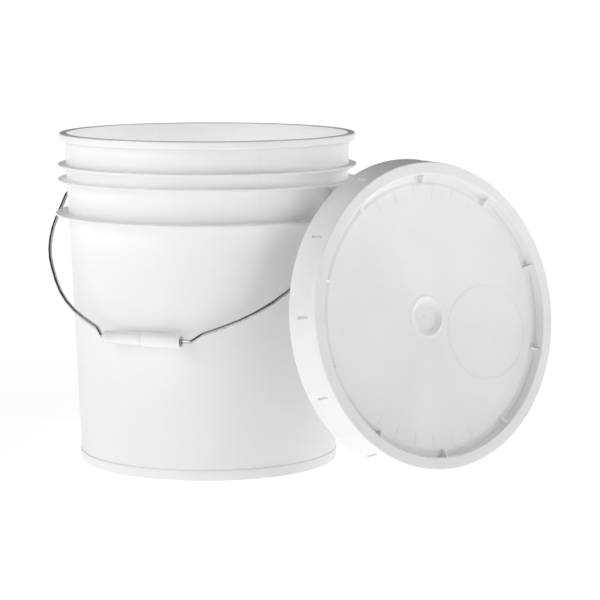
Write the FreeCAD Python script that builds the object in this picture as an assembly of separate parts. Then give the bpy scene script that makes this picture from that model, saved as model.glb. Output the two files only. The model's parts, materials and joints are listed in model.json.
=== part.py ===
import FreeCAD, Part
import math
import os

# Plastic fermenting bucket: an open-head pail with a wire bail, and its snap-on lid leaning beside it.
# Units are millimetres and degrees. The pail stands on Z = 0 with its axis on X = Y = 0.
# The lid leans on its lower edge in front of the pail's +X side, face outwards.

# ---------------------------------------------------------------- pail
PAIL_HEIGHT = 338.5
WALL = 2.2                     # moulded wall thickness
BASE_RADIUS = 132.0            # outside of the wall at the foot
WALL_SLOPE = 0.0435            # outward taper of the wall, mm per mm of height
BASE_BAND_HEIGHT = 11.5
BASE_BAND_PROUD = 0.9          # how far the base band stands out of the wall
FLOOR_UNDERSIDE = 5.0          # the floor is raised above the foot ring
FLOOR_THICKNESS = 2.6
FOOT_RING_WIDTH = 3.4

RIM_RADIUS = 152.0             # outside of the rim bead
RIM_BEAD_HEIGHT = 7.6
RIM_FLANGE = 2.4               # thickness of the bead's top
RIM_LIP = 2.0                  # thickness of the bead's down-turned lip
RIM_ROUNDING = 1.1

RINGS = [                      # height of the middle, outer radius
    (305.3, 153.4),
    (290.3, 153.4),
    (255.7, 156.0),
]
RING_THICKNESS = 2.6           # the rings are flat flanges

# ---------------------------------------------------------------- bail ears
EAR_TURN = 25.0                # the ear axis is turned this far about Z, right ear towards the front
EAR_HEIGHT = 272.0             # height of the ear axis
EAR_FACE = 152.4               # distance of an ear's outer face from the pail's axis
EAR_PLATE = 3.0
EAR_WIDTH = 36.0
EAR_CHEEK = 2.4

# ---------------------------------------------------------------- bail wire, in its own plane
WIRE_RADIUS = 1.9
BAIL_REACH = 194.2             # from the ear axis to the grip's axis
BAIL_REST = 48.45              # angle of the hanging bail from straight down: its grip rests on the wall
BAIL_HALF_WIDTH = 162.8        # half the width of the bail at the ears
BAIL_SHOULDER = (159.1, 76.8)  # half width and drop at the shoulder's corner
BAIL_LOWER = (107.8, 155.0)    # the same at the lower corner
BAIL_KINK = (57.2, 184.0)      # where the wire steps down to the grip
GRIP_STRAIGHT = 48.6           # half the straight run through the grip
BEND_EAR = 6.0
BEND_SHOULDER = 140.0
BEND_LOWER = 150.0
BEND_KINK = 10.0
BEND_GRIP = 5.0
WIRE_HEAD_RADIUS = 3.4
WIRE_HEAD = 1.6                # thickness of the upset end behind the ear's plate
RUNNING_CLEARANCE = 0.08       # radial, wire in the ears and in the grip

# ---------------------------------------------------------------- grip
GRIP_RADIUS = 6.7
GRIP_LENGTH = 84.0
GRIP_OFFSET = -5.4             # the grip has slid this far along its straight run
GRIP_HOLLOW_RADIUS = 5.0
GRIP_HOLLOW_DEPTH = 14.0

# ---------------------------------------------------------------- lid, section measured from its face
LID_CENTRE = (228.0, -117.4)    # X and Y of the centre of the lid's face
LID_FACING = 35.0              # the face looks this far to the +X side of -Y
LID_LEAN = 9.4                 # and this far up
LID_FACE_RADIUS = 152.9
LID_SKIRT_RADIUS = 159.6       # at the open edge
LID_DEPTH = 33.6
LID_WALL = 1.7
LID_TOP = 2.0                  # thickness of the rim band's top
GUTTER_OUTER_RADIUS = 141.2
GUTTER_INNER_RADIUS = 133.6
GUTTER_DEPTH = 11.4
GUTTER_DRAFT = 0.8
PANEL_DEPTH = 9.2
PANEL_THICKNESS = 2.0
SNAP_DEPTH = 10.6              # where the snap bead runs inside the skirt
SNAP_PROUD = 1.1
RECESS_RADIUS = 20.0
RECESS_FLOOR_RADIUS = 12.6
RECESS_DEPTH = 2.4
GATE_RADIUS = 2.2
WEB_COUNT = 10
WEB_FIRST = 88.8
WEB_THICKNESS = 1.6
SLOT_COUNT = 12
SLOT_FIRST = 175.5
SLOT_LENGTH = 13.0
SLOT_WIDTH = 2.4
SLOT_DEPTH = 16.0              # depth of a slot's middle below the face

# ---------------------------------------------------------------- gasket in the lid's channel
GASKET_THICKNESS = 2.4
GASKET_SIDE_GAP = 0.5

MARGIN = 20.0                  # how far cutting tools run past what they cut


def vec(x, y, z=0.0):
    return FreeCAD.Vector(x, y, z)


def wall_radius(z):
    """Outside radius of the pail's wall at height z."""
    return BASE_RADIUS + WALL_SLOPE * z


def turned(points):
    """A solid of revolution about Z from a closed (radius, height) outline."""
    corners = [vec(r, 0, z) for r, z in points]
    face = Part.Face(Part.makePolygon(corners + corners[:1]))
    return face.revolve(vec(0, 0), vec(0, 0, 1), 360)


# ================================================================ pail body
def pail_outline():
    """The pail's solid outline, before it is hollowed."""
    band = BASE_BAND_HEIGHT
    outline = [
        (0, 0),
        (wall_radius(0) + BASE_BAND_PROUD - 0.8, 0),
        (wall_radius(0) + BASE_BAND_PROUD, 0.8),
        (wall_radius(band) + BASE_BAND_PROUD, band - 0.9),
        (wall_radius(band), band),
    ]
    for height, tip in reversed(RINGS):
        low = height - RING_THICKNESS / 2
        high = height + RING_THICKNESS / 2
        outline.append((wall_radius(low), low))
        outline.append((tip - 0.4, low))
        outline.append((tip, low + 0.4))
        outline.append((tip, high - 0.4))
        outline.append((tip - 0.4, high))
        outline.append((wall_radius(high), high))
    under = PAIL_HEIGHT - RIM_BEAD_HEIGHT
    outline += [
        (wall_radius(under), under),
        (RIM_RADIUS - 0.4, under),
        (RIM_RADIUS, under + 0.6),
        (RIM_RADIUS, PAIL_HEIGHT - RIM_ROUNDING),
        (RIM_RADIUS - 0.35 * RIM_ROUNDING, PAIL_HEIGHT - 0.35 * RIM_ROUNDING),
        (RIM_RADIUS - RIM_ROUNDING, PAIL_HEIGHT),
        (0, PAIL_HEIGHT),
    ]
    return outline


def ear_block(angle):
    """One bail ear: a drilled plate with two cheeks, still without its pocket."""
    low = RINGS[2][0]
    high = RINGS[1][0]
    inner = wall_radius(low) - WALL - 1.0
    block = Part.makeBox(EAR_FACE - inner, EAR_WIDTH, high - low, vec(inner, -EAR_WIDTH / 2, low))
    block.rotate(vec(0, 0), vec(0, 0, 1), angle)
    return block


def ear_pocket(angle):
    """The space behind an ear's plate, open downwards through the lowest ring."""
    low = RINGS[2][0] - MARGIN
    high = RINGS[1][0] - RING_THICKNESS / 2
    inner = wall_radius(low) - WALL
    width = EAR_WIDTH - 2 * EAR_CHEEK
    box = Part.makeBox(EAR_FACE - EAR_PLATE - inner, width, high - low, vec(inner, -width / 2, low))
    box.rotate(vec(0, 0), vec(0, 0, 1), angle)
    wall = turned([(0, low), (wall_radius(low), low), (wall_radius(high), high), (0, high)])
    return box.cut(wall)


def ear_hole(angle):
    """The bore in an ear's plate that the wire turns in."""
    start = EAR_FACE - EAR_PLATE - 1.0
    hole = Part.makeCylinder(WIRE_RADIUS + RUNNING_CLEARANCE, EAR_PLATE + 6.0, vec(start, 0, EAR_HEIGHT), vec(1, 0, 0))
    hole.rotate(vec(0, 0), vec(0, 0, 1), angle)
    return hole


def pail_body():
    body = turned(pail_outline())
    angles = (-EAR_TURN, 180 - EAR_TURN)
    for angle in angles:
        body = body.fuse(ear_block(angle))
    floor_top = FLOOR_UNDERSIDE + FLOOR_THICKNESS
    inside = turned([
        (0, floor_top),
        (wall_radius(floor_top) - WALL - 2.0, floor_top),
        (wall_radius(floor_top + 2.0) - WALL, floor_top + 2.0),
        (wall_radius(PAIL_HEIGHT) - WALL, PAIL_HEIGHT),
        (wall_radius(PAIL_HEIGHT) - WALL, PAIL_HEIGHT + MARGIN),
        (0, PAIL_HEIGHT + MARGIN),
    ])
    underneath = turned([
        (0, -MARGIN),
        (BASE_RADIUS - FOOT_RING_WIDTH, -MARGIN),
        (BASE_RADIUS - FOOT_RING_WIDTH, FLOOR_UNDERSIDE),
        (0, FLOOR_UNDERSIDE),
    ])
    bead_low = PAIL_HEIGHT - RIM_BEAD_HEIGHT
    bead_groove = turned([
        (wall_radius(bead_low), bead_low - 0.01),
        (RIM_RADIUS - RIM_LIP, bead_low - 0.01),
        (RIM_RADIUS - RIM_LIP, PAIL_HEIGHT - RIM_FLANGE),
        (wall_radius(PAIL_HEIGHT - RIM_FLANGE), PAIL_HEIGHT - RIM_FLANGE),
    ])
    for tool in (inside, underneath, bead_groove):
        body = body.cut(tool)
    for angle in angles:
        body = body.cut(ear_pocket(angle))
        body = body.cut(ear_hole(angle))
    return body.removeSplitter()


# ================================================================ bail
def rounded_path(points, radii):
    """A wire of straight runs joined by tangent arcs, one radius for each inner corner."""
    edges = []
    start = points[0]
    for before, corner, after, radius in zip(points, points[1:], points[2:], radii):
        back = (before - corner).normalize()
        ahead = (after - corner).normalize()
        half_turn = (math.pi - back.getAngle(ahead)) / 2
        reach = radius * math.tan(half_turn)
        first = corner + back * reach
        last = corner + ahead * reach
        bisector = (back + ahead).normalize()
        middle = corner + bisector * (radius / math.cos(half_turn) - radius)
        edges.append(Part.LineSegment(start, first).toShape())
        edges.append(Part.Arc(first, middle, last).toShape())
        start = last
    edges.append(Part.LineSegment(start, points[-1]).toShape())
    return Part.Wire(edges)


def bail_corners():
    """The corners of the whole bail in its own plane: X along the ears, Y the drop below them."""
    head_end = EAR_FACE - EAR_PLATE - 1.0
    half = [
        (head_end, 0),
        (BAIL_HALF_WIDTH, 0),
        BAIL_SHOULDER,
        BAIL_LOWER,
        BAIL_KINK,
        (GRIP_STRAIGHT, BAIL_REACH),
    ]
    right = [vec(x, -y) for x, y in half]
    left = [vec(-x, -y) for x, y in reversed(half)]
    return right + left


def to_bail_plane(shape):
    """Turns a shape from the bail's own plane into its place on the pail."""
    shape.rotate(vec(0, 0), vec(1, 0, 0), 90 - BAIL_REST)
    shape.rotate(vec(0, 0), vec(0, 0, 1), -EAR_TURN)
    shape.translate(vec(0, 0, EAR_HEIGHT))
    return shape


def bail_wire():
    corners = bail_corners()
    bends = [BEND_EAR, BEND_SHOULDER, BEND_LOWER, BEND_KINK, BEND_GRIP]
    path = rounded_path(corners, bends + bends[::-1])
    section = Part.Wire(Part.makeCircle(WIRE_RADIUS, corners[0], vec(1, 0, 0)))
    wire = path.makePipeShell([section], True, False)
    for side in (1, -1):
        start = vec(side * (EAR_FACE - EAR_PLATE - 1.0), 0)
        head = Part.makeCylinder(WIRE_HEAD_RADIUS, WIRE_HEAD, start, vec(-side, 0, 0))
        stub = Part.makeCylinder(WIRE_RADIUS, WIRE_HEAD, start + vec(side * 0.5, 0), vec(-side, 0, 0))
        wire = wire.fuse(head).fuse(stub)
    return to_bail_plane(wire.removeSplitter())


def bail_grip():
    half = GRIP_LENGTH / 2
    bore = WIRE_RADIUS + RUNNING_CLEARANCE
    inner = half - GRIP_HOLLOW_DEPTH
    grip = turned([
        (bore, -inner),
        (GRIP_HOLLOW_RADIUS, -inner),
        (GRIP_HOLLOW_RADIUS, -half),
        (GRIP_RADIUS - 0.5, -half),
        (GRIP_RADIUS, -half + 0.5),
        (GRIP_RADIUS, half - 0.5),
        (GRIP_RADIUS - 0.5, half),
        (GRIP_HOLLOW_RADIUS, half),
        (GRIP_HOLLOW_RADIUS, inner),
        (bore, inner),
    ])
    grip.rotate(vec(0, 0), vec(0, 1, 0), 90)
    grip.translate(vec(GRIP_OFFSET, -BAIL_REACH))
    return to_bail_plane(grip)


# ================================================================ lid
def skirt_radius(depth):
    """Outside radius of the lid's skirt at a depth below the face."""
    return LID_FACE_RADIUS + (LID_SKIRT_RADIUS - LID_FACE_RADIUS) * depth / LID_DEPTH


def lid_centre_height():
    """Height of the face's centre that sets the lowest point of the open edge on the ground."""
    lean = math.radians(LID_LEAN)
    return LID_SKIRT_RADIUS * math.cos(lean) + LID_DEPTH * math.sin(lean)


def to_lid_place(shape):
    """Moves a shape from the lid's own frame (Z out of the face, Y up it) to where the lid leans."""
    shape.rotate(vec(0, 0), vec(1, 0, 0), 90 - LID_LEAN)
    shape.rotate(vec(0, 0), vec(0, 0, 1), LID_FACING)
    shape.translate(vec(LID_CENTRE[0], LID_CENTRE[1], lid_centre_height()))
    return shape


def lid_section():
    """Closed (radius, height) outline of the lid, its face at height 0 and its edge below."""
    plug_radius = GUTTER_OUTER_RADIUS + LID_TOP
    floor = GUTTER_DEPTH + PANEL_THICKNESS
    under_panel = PANEL_DEPTH + PANEL_THICKNESS
    return [
        (0, -PANEL_DEPTH - RECESS_DEPTH),
        (RECESS_FLOOR_RADIUS, -PANEL_DEPTH - RECESS_DEPTH),
        (RECESS_RADIUS, -PANEL_DEPTH),
        (GUTTER_INNER_RADIUS, -PANEL_DEPTH),
        (GUTTER_INNER_RADIUS + 0.5, -GUTTER_DEPTH),
        (GUTTER_OUTER_RADIUS - GUTTER_DRAFT, -GUTTER_DEPTH),
        (GUTTER_OUTER_RADIUS, -0.5),
        (GUTTER_OUTER_RADIUS + 0.5, 0),
        (LID_FACE_RADIUS - 1.4, 0),
        (LID_FACE_RADIUS - 0.4, -0.4),
        (skirt_radius(1.4), -1.4),
        (LID_SKIRT_RADIUS, -LID_DEPTH),
        (LID_SKIRT_RADIUS - LID_WALL, -LID_DEPTH),
        (skirt_radius(SNAP_DEPTH + 1.6) - LID_WALL, -SNAP_DEPTH - 1.6),
        (skirt_radius(SNAP_DEPTH) - LID_WALL - SNAP_PROUD, -SNAP_DEPTH),
        (skirt_radius(SNAP_DEPTH - 1.2) - LID_WALL, -SNAP_DEPTH + 1.2),
        (skirt_radius(LID_TOP) - LID_WALL, -LID_TOP),
        (plug_radius, -LID_TOP),
        (plug_radius - GUTTER_DRAFT, -floor),
        (GUTTER_INNER_RADIUS - 1.6, -floor),
        (GUTTER_INNER_RADIUS - 2.0, -under_panel),
        (RECESS_RADIUS + 1.0, -under_panel),
        (RECESS_FLOOR_RADIUS + 1.0, -under_panel - RECESS_DEPTH),
        (0, -under_panel - RECESS_DEPTH),
    ]


def gutter_web():
    """One triangular web that stiffens the gutter, along +X."""
    low = -GUTTER_DEPTH - 0.5
    corners = [
        vec(GUTTER_INNER_RADIUS - 0.5, -WEB_THICKNESS / 2, low),
        vec(GUTTER_INNER_RADIUS - 0.5, -WEB_THICKNESS / 2, -PANEL_DEPTH - 0.1),
        vec(GUTTER_OUTER_RADIUS + 0.5, -WEB_THICKNESS / 2, -0.8),
        vec(GUTTER_OUTER_RADIUS + 0.5, -WEB_THICKNESS / 2, low),
    ]
    face = Part.Face(Part.makePolygon(corners + corners[:1]))
    return face.extrude(vec(0, WEB_THICKNESS, 0))


def skirt_slot():
    """One slot through the skirt, along +X."""
    inner = LID_FACE_RADIUS - 2 * LID_WALL
    low = -SLOT_DEPTH - SLOT_LENGTH / 2
    return Part.makeBox(MARGIN, SLOT_WIDTH, SLOT_LENGTH, vec(inner, -SLOT_WIDTH / 2, low))


def around(shape, first, count):
    """Copies of a shape spread evenly about Z."""
    copies = []
    for i in range(count):
        copy = shape.copy()
        copy.rotate(vec(0, 0), vec(0, 0, 1), first + i * 360.0 / count)
        copies.append(copy)
    return copies


def lid():
    shape = turned(lid_section())
    gate = Part.makeCylinder(GATE_RADIUS, 1.3, vec(0, 0, -PANEL_DEPTH - RECESS_DEPTH - 0.5))
    shape = shape.fuse(gate)
    for web in around(gutter_web(), WEB_FIRST, WEB_COUNT):
        shape = shape.fuse(web)
    for slot in around(skirt_slot(), SLOT_FIRST, SLOT_COUNT):
        shape = shape.cut(slot)
    return to_lid_place(shape.removeSplitter())


def lid_gasket():
    inner = GUTTER_OUTER_RADIUS + LID_TOP + GASKET_SIDE_GAP
    outer = skirt_radius(LID_TOP) - LID_WALL - GASKET_SIDE_GAP
    low = -LID_TOP - GASKET_THICKNESS
    ring = turned([
        (inner, -LID_TOP),
        (inner, low + 0.8),
        (inner + 1.0, low),
        (outer - 1.0, low),
        (outer, low + 0.8),
        (outer, -LID_TOP),
    ])
    return to_lid_place(ring)


# ================================================================ export
NODES = {
    "pail_body": pail_body,
    "bail_wire": bail_wire,
    "bail_grip": bail_grip,
    "lid": lid,
    "lid_gasket": lid_gasket,
}

os.makedirs("parts", exist_ok=True)
for name, make in NODES.items():
    solid = make()
    box = solid.BoundBox
    print(name, "valid" if solid.isValid() else "INVALID", len(solid.Solids), "solid(s)",
          round(solid.Volume / 1000, 2), "cm3",
          "Z", round(box.ZMin, 2), "to", round(box.ZMax, 2))
    solid.exportStep("parts/" + name + ".step")
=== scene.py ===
import json
import math

import bmesh
import bpy
from mathutils import Matrix, Vector


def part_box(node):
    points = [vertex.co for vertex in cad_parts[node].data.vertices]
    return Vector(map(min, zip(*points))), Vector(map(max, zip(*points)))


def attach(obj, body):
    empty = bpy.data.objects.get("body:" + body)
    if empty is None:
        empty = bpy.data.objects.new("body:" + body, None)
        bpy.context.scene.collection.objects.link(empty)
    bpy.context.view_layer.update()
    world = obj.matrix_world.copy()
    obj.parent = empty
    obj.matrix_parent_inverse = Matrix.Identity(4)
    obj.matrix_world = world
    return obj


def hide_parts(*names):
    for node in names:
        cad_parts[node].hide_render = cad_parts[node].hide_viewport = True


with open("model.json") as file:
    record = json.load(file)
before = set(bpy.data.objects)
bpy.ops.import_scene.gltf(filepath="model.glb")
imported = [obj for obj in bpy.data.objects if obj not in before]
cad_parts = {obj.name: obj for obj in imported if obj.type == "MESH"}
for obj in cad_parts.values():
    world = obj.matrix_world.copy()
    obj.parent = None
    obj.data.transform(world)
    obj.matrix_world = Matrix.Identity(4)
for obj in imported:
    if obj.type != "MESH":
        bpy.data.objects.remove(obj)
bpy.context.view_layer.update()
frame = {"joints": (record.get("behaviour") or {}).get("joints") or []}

# Looks of an open-head fermenting pail with a wire bail, and its lid leaning beside it.
# Pieces are drawn in millimetres, each in its own frame, and put_down() brings them to the frame in metres.
joints = {joint["name"]: joint for joint in frame["joints"]}

# ---------------------------------------------------------------- pail
PAIL_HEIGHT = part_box("pail_body")[1].z * 1000
WALL = 2.2
BASE_RADIUS = 132.0
WALL_SLOPE = 0.0435            # outward taper of the wall, mm per mm of height
BASE_BAND_HEIGHT = 11.5
BASE_BAND_PROUD = 0.9
FLOOR_UNDERSIDE = 5.0
FLOOR_THICKNESS = 2.6
FLOOR_RIB_RADIUS = 59.0        # a fine ring under the floor
FLOOR_GATE = (3.0, 1.2)        # radius and height of the gate's mark under the floor
FLOOR_CROWN = (90.0, 0.4)      # radius and height of the inside's low crown
FOOT_RING_WIDTH = 3.4
RIM_RADIUS = 152.0
RIM_BEAD_HEIGHT = 7.6
RIM_FLANGE = 2.4
RIM_LIP = 2.0
RINGS = [(305.3, 153.4), (290.3, 153.4), (255.7, 156.0)]   # height of the middle, outer radius
RING_THICKNESS = 2.6
PARTING_TURN = -69.0           # where the mould's parting line runs, about Z from +X
PARTING_START = (0.2545, 0.2555)       # heights over which it sets in, m

# ---------------------------------------------------------------- bail ears
ear_axis = Vector(joints["bail_swing"]["axis"])
EAR_TURN = math.degrees(math.atan2(ear_axis.y, -ear_axis.x))
EAR_HEIGHT = joints["bail_swing"]["pos_m"][2] * 1000
EAR_FACE = 152.4
EAR_PLATE = 3.0
EAR_WIDTH = 36.0
EAR_CHEEK = 2.4
EAR_BORE = 1.98

# ---------------------------------------------------------------- bail wire and grip
WIRE_RADIUS = 1.9
BAIL_REACH = 194.2
BAIL_CORNERS = [(162.8, 0), (159.1, 76.8), (107.8, 155.0), (57.2, 184.0), (48.6, BAIL_REACH)]
BAIL_BENDS = [6, 140, 150, 10, 5]
WIRE_HEAD_RADIUS = 3.4
WIRE_HEAD = 1.6
WIRE_HEAD_PLACE = EAR_FACE - EAR_PLATE - 1.0
GRIP_RADIUS = 7.0
GRIP_STEP = 0.7                # how much thinner the grip's left half is
GRIP_STEP_PLACE = 0.5
GRIP_GROOVE = (1.2, 1.0)       # width and depth of the groove at the step
GRIP_LENGTH = 84.0
GRIP_OFFSET = -3.6
GRIP_HOLLOW_RADIUS = 5.1
GRIP_HOLLOW_DEPTH = 14.0
grip_drop = EAR_HEIGHT - joints["grip_turn"]["pos_m"][2] * 1000
BAIL_REST = math.degrees(math.acos(grip_drop / BAIL_REACH))

# ---------------------------------------------------------------- lid, from its face
LID_CENTRE = (228.0, -117.4)
LID_FACING = 35.0
LID_LEAN = 9.4
LID_FACE_RADIUS = 152.9
LID_SKIRT_RADIUS = 159.6
LID_DEPTH = 33.6
LID_WALL = 1.7
LID_TOP = 2.0
GUTTER_OUTER = 141.2
GUTTER_INNER = 133.6
GUTTER_DEPTH = 11.4
PANEL_DEPTH = 9.2
PANEL_THICKNESS = 2.0
PANEL_DISH = 8.0               # how much deeper the panel is at its middle
SNAP_DEPTH = 10.6
SNAP_PROUD = 1.1
RECESS_RADIUS = 20.0
RECESS_FLOOR = 13.6
RECESS_DEPTH = 3.6
RECESS_GATE = (2.2, 0.8)       # radius and height of the gate's mark
DISH_RADII = (RECESS_RADIUS + 2.0, GUTTER_INNER - 2.4)
WEB_COUNT = 10
WEB_FIRST = 88.8
WEB_THICKNESS = 1.6
WEB_RISE = 3.0                 # how far a web stands over the panel's edge at its inner end
WEB_DROP = 2.6                 # how far below the lid's face its outer end stops
SLOT_COUNT = 12
SLOT_FIRST = 175.5
SLOT_LENGTH = 13.0
SLOT_WIDTH = 2.8
SLOT_DEPTH = 16.0
SKIRT_START = GUTTER_OUTER + 6         # at a slot's depth, only the skirt lies further out
PANEL_RIB_STEP = 11.1
PANEL_RIB_COUNT = 6
PANEL_RIB_GROUPS = (88.0, -101.6)      # middle angle of each group
PANEL_RIB = (15.0, 1.1, 0.7)   # length, width, height
CIRCLE_RADIUS = 47.5
CIRCLE_PLACE = (75.6, -17.0)   # distance and angle of the fine circle's middle from the lid's centre
GASKET_THICKNESS = 2.4
GASKET_SIDE_GAP = 0.5

# ---------------------------------------------------------------- studio
FLOOR_GLOW_NEAR = 0.62
FLOOR_GLOW_FAR = 1.0
FLOOR_GLOW_REACH = (0.3, 1.5)  # distances over which the floor's glow rises, m
SKY_LOW = 0.02
SKY_HIGH = 0.06
LIGHT_AIM = Vector((0.08, -0.05, 0.17))
PAIL_LAMP_PLACE = (0.06, 0, 0.16)
PAIL_LAMP_POWER = 0.38
CAMERA_LENS = 143.2
CAMERA_PLACE = (0, -2.456, 0.5007)
CAMERA_DIP = 7.82              # degrees below level
CAMERA_SWING = -2.22           # degrees about Z; less than 0 is to the right

TURN_STEPS = 180
ROUND_STEPS = 4
MM = Matrix.Scale(0.001, 4)


def turn(degrees, axis):
    return Matrix.Rotation(math.radians(degrees), 4, axis)


def lid_place():
    lean = math.radians(LID_LEAN)
    height = LID_SKIRT_RADIUS * math.cos(lean) + LID_DEPTH * math.sin(lean)
    return MM @ Matrix.Translation((*LID_CENTRE, height)) @ turn(LID_FACING, "Z") @ turn(90 - LID_LEAN, "X")


PAIL_PLACE = MM
BAIL_PLACE = MM @ Matrix.Translation((0, 0, EAR_HEIGHT)) @ turn(-EAR_TURN, "Z") @ turn(90 - BAIL_REST, "X")
LID_PLACE = lid_place()


# ================================================================ making pieces
def drawn(outline, closed=False):
    """An outline of (radius, height) in the XZ plane. A third number rounds that corner."""
    bm = bmesh.new()
    corners = [bm.verts.new((point[0], 0, point[1])) for point in outline]
    for start, end in zip(corners, corners[1:]):
        bm.edges.new((start, end))
    if closed:
        bm.edges.new((corners[-1], corners[0]))
    for corner, point in zip(corners, outline):
        if len(point) == 3:
            bmesh.ops.bevel(bm, geom=[corner], offset=point[2], offset_type="OFFSET", affect="VERTICES",
                            segments=ROUND_STEPS, profile=0.5, material=-1)
    return bm


def turned(outline, closed=False, steps=TURN_STEPS):
    """The outline turned once about Z."""
    bm = drawn(outline, closed)
    bmesh.ops.spin(bm, geom=bm.verts[:] + bm.edges[:], cent=(0, 0, 0), axis=(0, 0, 1), dvec=(0, 0, 0),
                   angle=math.tau, steps=steps, use_merge=True)
    return closed_up(bm)


def closed_up(bm):
    bmesh.ops.remove_doubles(bm, verts=bm.verts, dist=0.001)
    bmesh.ops.recalc_face_normals(bm, faces=bm.faces)
    return bm


def vertices(made):
    """The vertices among what an operator made."""
    return [item for item in made if isinstance(item, bmesh.types.BMVert)]


def block(bm, size, matrix, rounding):
    """Adds a box with its edges rounded."""
    made = bmesh.ops.create_cube(bm, size=1, matrix=matrix @ Matrix.Diagonal((*size, 1)))
    edges = {edge for vert in made["verts"] for edge in vert.link_edges}
    bmesh.ops.bevel(bm, geom=list(edges), offset=rounding, affect="EDGES", segments=2, profile=0.5,
                    material=-1)


def put_down(bm, name, place, body, material, node=None):
    """Makes the piece's object, with its place in its mesh, riding on its body."""
    bm.transform(place)
    mesh = bpy.data.meshes.new(name)
    bm.to_mesh(mesh)
    bm.free()
    for polygon in mesh.polygons:
        polygon.use_smooth = True
    mesh.set_sharp_from_angle(angle=math.radians(38))
    piece = bpy.data.objects.new(name, mesh)
    bpy.context.scene.collection.objects.link(piece)
    piece.data.materials.append(material)
    shading = piece.modifiers.new("even shading", "WEIGHTED_NORMAL")
    shading.keep_sharp = True
    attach(piece, body)
    if node:
        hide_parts(node)


# ================================================================ finishes
class Signal:
    """A value on a shader socket: arithmetic on it adds Math nodes."""

    def __init__(self, finish, socket):
        self.finish = finish
        self.socket = socket

    def maths(self, operation, *values):
        return self.finish.node("ShaderNodeMath", {"operation": operation}, dict(enumerate(values)))

    def __add__(self, other):
        return self.maths("ADD", self, other)

    def __sub__(self, other):
        return self.maths("SUBTRACT", self, other)

    def __rsub__(self, other):
        return self.maths("SUBTRACT", other, self)

    def __mul__(self, other):
        return self.maths("MULTIPLY", self, other)

    __radd__ = __add__
    __rmul__ = __mul__

    def size(self):
        return self.maths("ABSOLUTE", self)

    def faded(self, start, end):
        """0 at start, 1 at end, held beyond both."""
        return self.finish.node("ShaderNodeMapRange", {"clamp": True},
                                {"Value": self, "From Min": start, "From Max": end})


class Finish:
    """A material under way, and the only place where its nodes are added."""

    def __init__(self, name, **shader):
        self.material = bpy.data.materials.new(name)
        self.material.use_nodes = True
        self.tree = self.material.node_tree
        self.shader = self.tree.nodes["Principled BSDF"]
        for socket, value in shader.items():
            self.shader.inputs[socket.replace("_", " ")].default_value = value
        self.place = self.node("ShaderNodeTexCoord", output="Object")

    @classmethod
    def around(cls, world):
        """The same for a world's background."""
        air = cls.__new__(cls)
        air.tree = world.node_tree
        air.shader = air.tree.nodes["Background"]
        air.place = air.node("ShaderNodeTexCoord", output="Generated")
        return air

    def node(self, kind, settings=None, inputs=None, output=0):
        added = self.tree.nodes.new(kind)
        for name, value in (settings or {}).items():
            setattr(added, name, value)
        for name, value in (inputs or {}).items():
            if isinstance(value, Signal):
                self.tree.links.new(value.socket, added.inputs[name])
            else:
                added.inputs[name].default_value = value
        return Signal(self, added.outputs[output])

    def feed(self, **inputs):
        for name, value in inputs.items():
            self.tree.links.new(value.socket, self.shader.inputs[name.replace("_", " ")])

    def noise(self, scale, detail=2.0, place=None, roughness=0.5):
        return self.node("ShaderNodeTexNoise", {}, {"Vector": place or self.place, "Scale": scale,
                                                    "Detail": detail, "Roughness": roughness})

    def part(self, place, axis):
        return self.node("ShaderNodeSeparateXYZ", {}, {0: place}, output=axis)

    def moved(self, kind="POINT", **inputs):
        values = {"Vector": self.place}
        values.update({name.capitalize(): value for name, value in inputs.items()})
        return self.node("ShaderNodeMapping", {"vector_type": kind}, values)

    def blend(self, mask, first, second):
        """Two colours mixed, by the Mix node's numbers for its factor, its colours and its colour result."""
        return self.node("ShaderNodeMix", {"data_type": "RGBA"}, {0: mask, 6: first, 7: second}, output=2)

    def bump(self, height, distance):
        relief = self.node("ShaderNodeBump", {}, {"Height": height, "Distance": distance, "Strength": 1.0})
        self.feed(Normal=relief)


def grey(level, warmth=0.0):
    return (level + warmth, level, level - warmth, 1)


def pail_plastic():
    """Natural polyethylene off a polished mould: soft waves, faint draw marks and a parting line."""
    finish = Finish("pail_polyethylene", IOR=1.5, Subsurface_Weight=0.12, Subsurface_Scale=0.006)
    finish.shader.inputs["Subsurface Radius"].default_value = (1, 1, 1)
    clouds = finish.noise(9, 3)
    drawn_place = finish.moved(scale=(1, 1, 0.06))
    draws = finish.noise(160, 2, drawn_place)
    grain = finish.noise(1400, 2)
    scuffs = finish.noise(60, 6, finish.moved(scale=(1, 1, 0.5)), 0.7).faded(0.62, 0.72)
    tint = finish.blend(clouds.faded(0.3, 0.7), grey(0.94, 0.001), grey(0.91, 0.002))
    finish.feed(Base_Color=tint, Roughness=0.36 + 0.08 * clouds + 0.12 * scuffs)
    split = math.radians(PARTING_TURN)
    x, y, z = [finish.part(finish.place, axis) for axis in range(3)]
    off_split = x * math.sin(split) - y * math.cos(split)
    above = z.faded(*PARTING_START)
    line = (1 - off_split.size().faded(0.0001, 0.0005)) * above
    finish.bump(0.5 * clouds + 0.05 * draws + 0.02 * grain + 0.25 * line, 0.0008)
    return finish.material


def grip_plastic():
    """Soft moulded sleeve that lets light some way in."""
    finish = Finish("grip_sleeve_plastic", IOR=1.5, Subsurface_Weight=0.5, Subsurface_Scale=0.004)
    finish.shader.inputs["Subsurface Radius"].default_value = (1, 1, 1)
    clouds = finish.noise(40, 3)
    grain = finish.noise(1800, 2)
    finish.feed(Base_Color=finish.blend(clouds.faded(0.3, 0.7), grey(0.96), grey(0.93)),
                Roughness=0.34 + 0.1 * clouds)
    finish.bump(0.4 * clouds + 0.06 * grain, 0.0004)
    return finish.material


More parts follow.
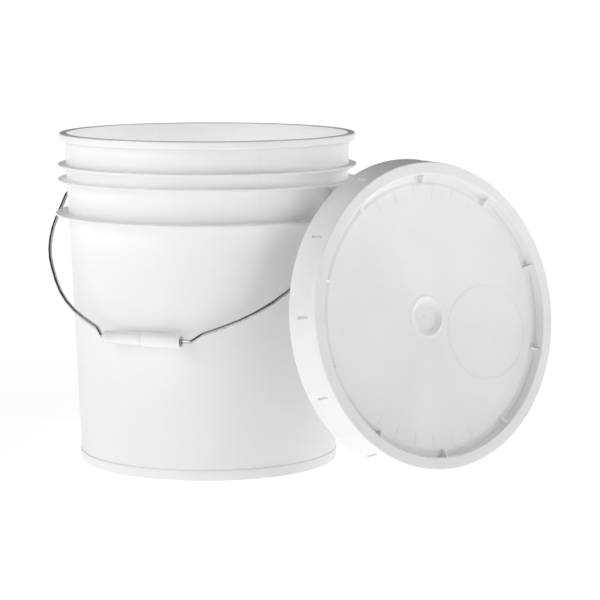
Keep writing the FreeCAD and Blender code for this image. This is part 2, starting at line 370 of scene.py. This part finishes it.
def lid_plastic():
    """Lid moulding: soft shrink waves with finer ripples over them, and dull scuffs."""
    finish = Finish("lid_polyethylene", IOR=1.5, Subsurface_Weight=0.12, Subsurface_Scale=0.006)
    finish.shader.inputs["Subsurface Radius"].default_value = (1, 1, 1)
    turned_place = LID_PLACE.to_euler()
    local = finish.moved("TEXTURE", location=LID_PLACE.translation, rotation=turned_place)
    clouds = finish.noise(11, 3, local)
    ripples = finish.noise(26, 4, local)
    grain = finish.noise(1400, 2, local)
    scuffs = finish.noise(75, 6, local, 0.7).faded(0.62, 0.72)
    tint = finish.blend(clouds.faded(0.3, 0.7), grey(0.93, 0.001), grey(0.87, 0.001))
    finish.feed(Base_Color=tint, Roughness=0.3 + 0.1 * clouds + 0.12 * scuffs)
    finish.bump(0.7 * clouds + 0.12 * ripples + 0.02 * grain, 0.0012)
    return finish.material


def bail_steel():
    """Galvanised wire: mid grey with a paler spangle and fine dullness."""
    finish = Finish("bail_galvanised_wire", Metallic=1.0)
    spangle = finish.noise(420, 3)
    dull = finish.noise(1900, 2)
    finish.feed(Base_Color=finish.blend(spangle.faded(0.35, 0.65), grey(0.42), grey(0.56)),
                Roughness=0.16 + 0.14 * dull)
    finish.bump(dull, 0.00004)
    return finish.material


def gasket_rubber():
    """Foamed sealing ring."""
    finish = Finish("gasket_foam", IOR=1.45)
    cells = finish.noise(900, 3)
    finish.feed(Base_Color=finish.blend(cells, grey(0.62), grey(0.7)), Roughness=0.7 + 0.15 * cells)
    finish.bump(cells, 0.0002)
    return finish.material


def floor_paint():
    """Plain white floor that glows a little itself, more so away from the pail."""
    finish = Finish("studio_floor", Roughness=0.9, Emission_Strength=1.0)
    mottle = finish.noise(3, 2)
    away = finish.node("ShaderNodeVectorMath", {"operation": "LENGTH"}, {0: finish.place}, output="Value")
    glow = away.faded(*FLOOR_GLOW_REACH)
    finish.feed(Base_Color=finish.blend(mottle, grey(0.9), grey(0.88)),
                Emission_Color=finish.blend(glow, grey(FLOOR_GLOW_NEAR), grey(FLOOR_GLOW_FAR)))
    return finish.material


# ================================================================ pail
def wall_radius(z):
    return BASE_RADIUS + WALL_SLOPE * z


def ring_outline(height, outer):
    """One stiffening ring, upwards: a flat flange."""
    low = height - RING_THICKNESS / 2
    high = height + RING_THICKNESS / 2
    return [
        (wall_radius(low), low, 0.4),
        (outer, low, 0.3),
        (outer, high, 0.4),
        (wall_radius(high), high, 0.9),
    ]


def pail_outline():
    """From the middle of the underside, out, up the wall, over the rim and down to the floor's middle."""
    floor_top = FLOOR_UNDERSIDE + FLOOR_THICKNESS
    band = BASE_BAND_HEIGHT
    gate_radius, gate_height = FLOOR_GATE
    crown_radius, crown_height = FLOOR_CROWN
    foot_inner = BASE_RADIUS - FOOT_RING_WIDTH
    under = PAIL_HEIGHT - RIM_BEAD_HEIGHT
    outline = [
        (0, FLOOR_UNDERSIDE - gate_height),
        (gate_radius - 0.6, FLOOR_UNDERSIDE - gate_height, 0.4),
        (gate_radius, FLOOR_UNDERSIDE, 0.4),
        (FLOOR_RIB_RADIUS - 1.0, FLOOR_UNDERSIDE, 0.4),
        (FLOOR_RIB_RADIUS - 0.6, FLOOR_UNDERSIDE - 0.8, 0.3),
        (FLOOR_RIB_RADIUS + 0.6, FLOOR_UNDERSIDE - 0.8, 0.3),
        (FLOOR_RIB_RADIUS + 1.0, FLOOR_UNDERSIDE, 0.4),
        (foot_inner, FLOOR_UNDERSIDE, 1.6),
        (foot_inner, 0, 0.7),
        (wall_radius(0) + BASE_BAND_PROUD, 0, 1.0),
        (wall_radius(band) + BASE_BAND_PROUD, band - 0.9, 0.5),
        (wall_radius(band), band, 0.5),
    ]
    for height, outer in reversed(RINGS):
        outline += ring_outline(height, outer)
    outline += [
        (wall_radius(under), PAIL_HEIGHT - RIM_FLANGE, 0.8),
        (RIM_RADIUS - RIM_LIP, PAIL_HEIGHT - RIM_FLANGE, 0.5),
        (RIM_RADIUS - RIM_LIP, under, 0.5),
        (RIM_RADIUS, under, 1.3),
        (RIM_RADIUS, PAIL_HEIGHT, 1.7),
        (wall_radius(PAIL_HEIGHT) - WALL, PAIL_HEIGHT, 1.1),
        (wall_radius(floor_top) - WALL, floor_top, 5.0),
        (crown_radius, floor_top, 1.0),
        (0, floor_top + crown_height),
    ]
    return outline


def ear_shell():
    """One bail ear along +X: a bored plate, two cheeks and a top, open below and towards the wall."""
    low = RINGS[2][0]
    high = RINGS[1][0]
    depth = EAR_FACE - wall_radius(low) + WALL / 2
    middle = (low + high) / 2
    bm = bmesh.new()
    side_steps = 6
    hair = 0.1
    grid = bmesh.ops.create_grid(bm, x_segments=side_steps, y_segments=side_steps, size=0.5)
    bmesh.ops.transform(bm, matrix=Matrix.Diagonal((EAR_WIDTH, high - low, 1, 1)), verts=grid["verts"])
    bmesh.ops.delete(bm, geom=bm.faces[:], context="FACES_ONLY")
    inside = [vert for vert in bm.verts
              if abs(vert.co.x) < EAR_WIDTH / 2 - hair and abs(vert.co.y) < (high - low) / 2 - hair]
    bmesh.ops.delete(bm, geom=inside, context="VERTS")
    border = bm.edges[:]
    bmesh.ops.create_circle(bm, radius=EAR_BORE, segments=4 * side_steps,
                            matrix=Matrix.Translation((0, EAR_HEIGHT - middle, 0)) @ turn(45, "Z"))
    bmesh.ops.bridge_loops(bm, edges=bm.edges[:])
    rim = [edge for edge in border if max(vert.co.y for vert in edge.verts) > low - middle + hair]
    skirt = bmesh.ops.extrude_edge_only(bm, edges=rim)["geom"]
    bmesh.ops.translate(bm, vec=(0, 0, -depth), verts=vertices(skirt))
    bmesh.ops.recalc_face_normals(bm, faces=bm.faces)
    if bm.faces[0].normal.z < 0:
        bmesh.ops.reverse_faces(bm, faces=bm.faces)
    corners = [edge for edge in bm.edges if len(edge.link_faces) == 2 and edge.calc_face_angle() > 1]
    bmesh.ops.bevel(bm, geom=corners, offset=1.2, affect="EDGES", segments=3, profile=0.5, material=-1)
    bmesh.ops.solidify(bm, geom=bm.faces[:], thickness=EAR_CHEEK)
    out = Matrix.Translation((EAR_FACE, 0, middle)) @ turn(90, "Z") @ turn(90, "X")
    bm.transform(out)
    return closed_up(bm)


def make_pail():
    plastic = pail_plastic()
    put_down(turned(pail_outline()), "pail_wall", PAIL_PLACE, "pail", plastic, "pail_body")
    for name, angle in (("pail_ear_right", -EAR_TURN), ("pail_ear_left", 180 - EAR_TURN)):
        put_down(ear_shell(), name, PAIL_PLACE @ turn(angle, "Z"), "pail", plastic)


# ================================================================ bail
def carried_on(bm, made):
    """The edges at the far end of an extrusion, and their corners."""
    moved = set(vertices(made))
    return [edge for edge in bm.edges if edge.verts[0] in moved and edge.verts[1] in moved], moved


def straight(bm, section, step):
    made = bmesh.ops.extrude_edge_only(bm, edges=section)["geom"]
    section, moved = carried_on(bm, made)
    bmesh.ops.translate(bm, vec=step, verts=list(moved))
    return section


def bent_wire(corners, bends):
    """Wire carried along straight runs and round bends, in the XY plane."""
    bm = bmesh.new()
    bmesh.ops.create_circle(bm, radius=WIRE_RADIUS, segments=20, cap_ends=True,
                            matrix=Matrix.Translation(corners[0]) @ turn(90, "Y"))
    section = bm.edges[:]
    here = corners[0]
    for before, corner, after, radius in zip(corners, corners[1:], corners[2:], bends):
        back = (before - corner).normalized()
        ahead = (after - corner).normalized()
        half_turn = (math.pi - back.angle(ahead)) / 2
        reach = radius * math.tan(half_turn)
        first = corner + back * reach
        centre = corner + (back + ahead).normalized() * (radius / math.cos(half_turn))
        section = straight(bm, section, first - here)
        steps = max(3, round(math.degrees(half_turn) / 3))
        spun = bmesh.ops.spin(bm, geom=section, cent=centre, axis=ahead.cross(back), dvec=(0, 0, 0),
                              angle=2 * half_turn, steps=steps)
        section = [item for item in spun["geom_last"] if isinstance(item, bmesh.types.BMEdge)]
        here = corner + ahead * reach
    section = straight(bm, section, corners[-1] - here)
    bmesh.ops.contextual_create(bm, geom=section)
    return closed_up(bm)


def bail_corners():
    half = [(WIRE_HEAD_PLACE, 0)] + BAIL_CORNERS
    right = [Vector((x, -y, 0)) for x, y in half]
    left = [Vector((-x, -y, 0)) for x, y in reversed(half)]
    return right + left


def make_bail():
    steel = bail_steel()
    wire = bent_wire(bail_corners(), BAIL_BENDS + BAIL_BENDS[::-1])
    put_down(wire, "bail_rod", BAIL_PLACE, "bail", steel, "bail_wire")
    head = [(0, 0), (WIRE_HEAD_RADIUS, 0, 0.5), (WIRE_HEAD_RADIUS, WIRE_HEAD, 0.4), (0, WIRE_HEAD)]
    for name, side in (("bail_head_right", 1), ("bail_head_left", -1)):
        place = Matrix.Translation((side * WIRE_HEAD_PLACE, 0, 0)) @ turn(-90 * side, "Y")
        put_down(turned(head, steps=32), name, BAIL_PLACE @ place, "bail", steel)


def grip_outline():
    """Closed outline of the sleeve from its left end: thinner half, groove, thicker half, hollow ends."""
    half = GRIP_LENGTH / 2
    bore = WIRE_RADIUS + 0.08
    inner = half - GRIP_HOLLOW_DEPTH
    thin = GRIP_RADIUS - GRIP_STEP
    groove_width, groove_depth = GRIP_GROOVE
    return [
        (bore, -inner),
        (GRIP_HOLLOW_RADIUS, -inner, 0.8),
        (GRIP_HOLLOW_RADIUS, -half, 0.4),
        (thin, -half, 0.7),
        (thin, GRIP_STEP_PLACE - groove_width - 0.6, 0.3),
        (thin - groove_depth, GRIP_STEP_PLACE - groove_width, 0.3),
        (thin - groove_depth, GRIP_STEP_PLACE, 0.2),
        (GRIP_RADIUS, GRIP_STEP_PLACE + 0.2, 0.25),
        (GRIP_RADIUS, half, 0.7),
        (GRIP_HOLLOW_RADIUS, half, 0.4),
        (GRIP_HOLLOW_RADIUS, inner, 0.8),
        (bore, inner),
    ]


def make_grip():
    sleeve = turned(grip_outline(), closed=True, steps=64)
    place = Matrix.Translation((GRIP_OFFSET, -BAIL_REACH, 0)) @ turn(90, "Y")
    put_down(sleeve, "grip_sleeve", BAIL_PLACE @ place, "grip", grip_plastic(), "bail_grip")


# ================================================================ lid
def skirt_radius(depth):
    return LID_FACE_RADIUS + (LID_SKIRT_RADIUS - LID_FACE_RADIUS) * depth / LID_DEPTH


def lid_outline():
    """From the middle of the recess, out over the face, down the skirt and back under to the middle."""
    plug = GUTTER_OUTER + LID_TOP
    floor = GUTTER_DEPTH + PANEL_THICKNESS
    middle = PANEL_DEPTH + PANEL_DISH
    gate_radius, gate_height = RECESS_GATE
    under_panel = PANEL_DEPTH + PANEL_THICKNESS
    slot_top = SLOT_DEPTH - SLOT_LENGTH / 2
    slot_end = SLOT_DEPTH + SLOT_LENGTH / 2
    return [
        (0, -middle - RECESS_DEPTH + gate_height),
        (gate_radius - 0.6, -middle - RECESS_DEPTH + gate_height, 0.4),
        (gate_radius, -middle - RECESS_DEPTH, 0.3),
        (RECESS_FLOOR, -middle - RECESS_DEPTH, 0.8),
        (RECESS_RADIUS - 0.6, -middle + 0.5, 0.6),
        (RECESS_RADIUS + 0.6, -middle + 0.5, 0.6),
        (DISH_RADII[0], -middle, 0.8),
        (DISH_RADII[1], -PANEL_DEPTH, 0.3),
        (GUTTER_INNER - 0.2, -PANEL_DEPTH - 1.2, 0.3),
        (GUTTER_INNER + 0.2, -GUTTER_DEPTH, 0.4),
        (GUTTER_OUTER - 0.8, -GUTTER_DEPTH, 0.8),
        (GUTTER_OUTER, 0, 0.9),
        (LID_FACE_RADIUS, 0, 1.0),
        (skirt_radius(slot_top), -slot_top),
        (skirt_radius(slot_end), -slot_end),
        (LID_SKIRT_RADIUS, -LID_DEPTH, 0.6),
        (LID_SKIRT_RADIUS - LID_WALL, -LID_DEPTH, 0.5),
        (skirt_radius(slot_end) - LID_WALL, -slot_end),
        (skirt_radius(slot_top + 3.4) - LID_WALL, -slot_top - 3.4, 0.5),
        (skirt_radius(SNAP_DEPTH) - LID_WALL - SNAP_PROUD, -SNAP_DEPTH, 0.6),
        (skirt_radius(slot_top) - LID_WALL, -slot_top),
        (skirt_radius(LID_TOP) - LID_WALL, -LID_TOP, 0.6),
        (plug, -LID_TOP, 0.6),
        (plug - 0.8, -floor, 0.8),
        (GUTTER_INNER - 1.6, -floor, 0.8),
        (GUTTER_INNER - 2.0, -under_panel, 0.5),
        (RECESS_RADIUS + 1.0, -under_panel - PANEL_DISH, 0.6),
        (RECESS_FLOOR + 1.0, -under_panel - PANEL_DISH - RECESS_DEPTH, 0.6),
        (0, -under_panel - PANEL_DISH - RECESS_DEPTH),
    ]


def open_slot(bm, to_slot):
    """Opens the skirt's narrow sector between the slot's ends, and walls the cut."""
    def in_slot(item, slack):
        place = to_slot @ item
        return (place.x > SKIRT_START and abs(place.y) < SLOT_WIDTH / 2 + slack
                and abs(place.z + SLOT_DEPTH) < SLOT_LENGTH / 2 + slack)
    inside = [face for face in bm.faces if in_slot(face.calc_center_median(), -0.1)]
    bmesh.ops.delete(bm, geom=inside, context="FACES")
    rims = [edge for edge in bm.edges if edge.is_boundary and all(in_slot(v.co, 0.2) for v in edge.verts)]
    bmesh.ops.bridge_loops(bm, edges=rims)


def lid_shell():
    """The lid's outline turned in sectors, with a narrow one at each slot that the skirt is opened in."""
    bm = drawn(lid_outline())
    slot_turn = math.degrees(SLOT_WIDTH / skirt_radius(SLOT_DEPTH))
    bm.transform(turn(SLOT_FIRST - slot_turn / 2, "Z"))
    edge = bm.verts[:] + bm.edges[:]
    plain_turn = 360 / SLOT_COUNT - slot_turn
    for _ in range(SLOT_COUNT):
        for angle, steps in ((slot_turn, 1), (plain_turn, TURN_STEPS // SLOT_COUNT)):
            spun = bmesh.ops.spin(bm, geom=edge, cent=(0, 0, 0), axis=(0, 0, 1), dvec=(0, 0, 0),
                                  angle=math.radians(angle), steps=steps)
            edge = spun["geom_last"]
    closed_up(bm)
    for index in range(SLOT_COUNT):
        open_slot(bm, turn(-SLOT_FIRST - index * 360 / SLOT_COUNT, "Z"))
    bmesh.ops.recalc_face_normals(bm, faces=bm.faces)
    return bm


def lid_webs():
    """Sloping webs across the gutter."""
    bm = bmesh.new()
    low = -GUTTER_DEPTH - 0.4
    corners = [
        (GUTTER_INNER - 0.4, low),
        (GUTTER_INNER - 0.4, -PANEL_DEPTH + WEB_RISE),
        (GUTTER_OUTER + 0.4, -WEB_DROP),
        (GUTTER_OUTER + 0.4, low),
    ]
    for index in range(WEB_COUNT):
        verts = [bm.verts.new((x, -WEB_THICKNESS / 2, z)) for x, z in corners]
        face = bm.faces.new(verts)
        made = bmesh.ops.extrude_face_region(bm, geom=[face])["geom"]
        moved = vertices(made)
        bmesh.ops.translate(bm, vec=(0, WEB_THICKNESS, 0), verts=moved)
        bmesh.ops.rotate(bm, cent=(0, 0, 0), matrix=turn(WEB_FIRST + index * 360 / WEB_COUNT, "Z").to_3x3(),
                         verts=verts + moved)
    bmesh.ops.recalc_face_normals(bm, faces=bm.faces)
    top = [edge for edge in bm.edges if min(v.co.z for v in edge.verts) > -PANEL_DEPTH]
    bmesh.ops.bevel(bm, geom=top, offset=0.25, affect="EDGES", segments=2, profile=0.5, material=-1)
    return bm


def sunk(bm):
    """Takes what is drawn level with the panel's edge down onto the panel's dish."""
    inner, outer = DISH_RADII
    for vert in bm.verts:
        share = (outer - math.hypot(vert.co.x, vert.co.y)) / (outer - inner)
        vert.co.z -= PANEL_DISH * min(max(share, 0), 1)
    return bm


def panel_ribs():
    """Groups of fine ribs near the panel's edge."""
    bm = bmesh.new()
    radius = GUTTER_INNER - 1.5 - PANEL_RIB[0] / 2
    for middle in PANEL_RIB_GROUPS:
        for index in range(PANEL_RIB_COUNT):
            angle = middle + (index - (PANEL_RIB_COUNT - 1) / 2) * PANEL_RIB_STEP
            block(bm, PANEL_RIB, turn(angle, "Z") @ Matrix.Translation((radius, 0, -PANEL_DEPTH - 0.1)), 0.2)
    return sunk(bm)


def panel_circle():
    """A fine raised circle off the lid's centre."""
    distance, angle = CIRCLE_PLACE
    low = -PANEL_DEPTH - 0.5
    top = -PANEL_DEPTH + 0.2
    outline = [
        (CIRCLE_RADIUS - 0.8, low),
        (CIRCLE_RADIUS - 0.5, top, 0.15),
        (CIRCLE_RADIUS + 0.5, top, 0.15),
        (CIRCLE_RADIUS + 0.8, low),
    ]
    bm = turned(outline, closed=True, steps=120)
    bm.transform(turn(angle, "Z") @ Matrix.Translation((distance, 0, 0)))
    return sunk(bm)


def make_lid():
    plastic = lid_plastic()
    put_down(lid_shell(), "lid_shell", LID_PLACE, "lid", plastic, "lid")
    put_down(lid_webs(), "lid_gutter_webs", LID_PLACE, "lid", plastic)
    put_down(panel_ribs(), "lid_panel_ribs", LID_PLACE, "lid", plastic)
    put_down(panel_circle(), "lid_panel_circle", LID_PLACE, "lid", plastic)
    inner = GUTTER_OUTER + LID_TOP + GASKET_SIDE_GAP
    outer = skirt_radius(LID_TOP) - LID_WALL - GASKET_SIDE_GAP
    low = -LID_TOP - GASKET_THICKNESS
    ring = turned([(inner, -LID_TOP), (inner, low, 1.0), (outer, low, 1.0), (outer, -LID_TOP)], closed=True)
    put_down(ring, "seal_ring", LID_PLACE, "lid", gasket_rubber(), "lid_gasket")


# ================================================================ studio
def make_floor():
    bm = bmesh.new()
    bmesh.ops.create_circle(bm, cap_ends=True, segments=96, radius=60)
    mesh = bpy.data.meshes.new("studio_floor")
    bm.to_mesh(mesh)
    bm.free()
    floor = bpy.data.objects.new("studio_floor", mesh)
    bpy.context.scene.collection.objects.link(floor)
    mesh.materials.append(floor_paint())


def softbox(name, azimuth, elevation, distance, size, power):
    """A square soft light aimed at the pail; azimuth 0 is in front of it, positive to the right."""
    turn_round = math.radians(azimuth)
    rise = math.radians(elevation)
    level = Vector((math.sin(turn_round), -math.cos(turn_round), 0))
    way = level * math.cos(rise) + Vector((0, 0, math.sin(rise)))
    light = bpy.data.lights.new(name, "AREA")
    light.shape = "RECTANGLE"
    light.size, light.size_y = size
    light.energy = power
    lamp = bpy.data.objects.new(name, light)
    lamp.location = LIGHT_AIM + way * distance
    lamp.rotation_euler = way.to_track_quat("Z", "Y").to_euler()
    bpy.context.scene.collection.objects.link(lamp)


def pail_lamp():
    """A small lamp down in the pail, out of view, for the light that the real wall lets through."""
    light = bpy.data.lights.new("pail_lamp", "POINT")
    light.shadow_soft_size = 0.05
    light.energy = PAIL_LAMP_POWER
    lamp = bpy.data.objects.new("pail_lamp", light)
    lamp.location = PAIL_LAMP_PLACE
    lamp.visible_camera = False
    bpy.context.scene.collection.objects.link(lamp)


def make_studio():
    make_floor()
    softbox("key_left", -65, 30, 1.8, (1.1, 1.1), 10.6)
    softbox("front_left", -35, 22, 1.8, (1.1, 1.1), 3.4)
    softbox("fill_right", 60, 24, 1.2, (0.7, 0.7), 3.0)
    softbox("back_right", 110, 25, 1.2, (0.7, 0.7), 4)
    pail_lamp()
    world = bpy.data.worlds.new("studio_air")
    world.use_nodes = True
    air = Finish.around(world)
    rise = air.part(air.place, 2).faded(0.15, 0.6)
    air.feed(Color=air.blend(rise, grey(SKY_LOW), grey(SKY_HIGH)))
    bpy.context.scene.world = world
    bpy.context.scene.view_settings.view_transform = "Standard"


def make_camera():
    camera = bpy.data.cameras.new("camera")
    camera.lens = CAMERA_LENS
    camera.clip_end = 200
    view = bpy.data.objects.new("camera", camera)
    view.location = CAMERA_PLACE
    view.rotation_euler = (math.radians(90 - CAMERA_DIP), 0, math.radians(CAMERA_SWING))
    bpy.context.scene.collection.objects.link(view)
    bpy.context.scene.camera = view


make_pail()
make_bail()
make_grip()
make_lid()
make_studio()
make_camera()
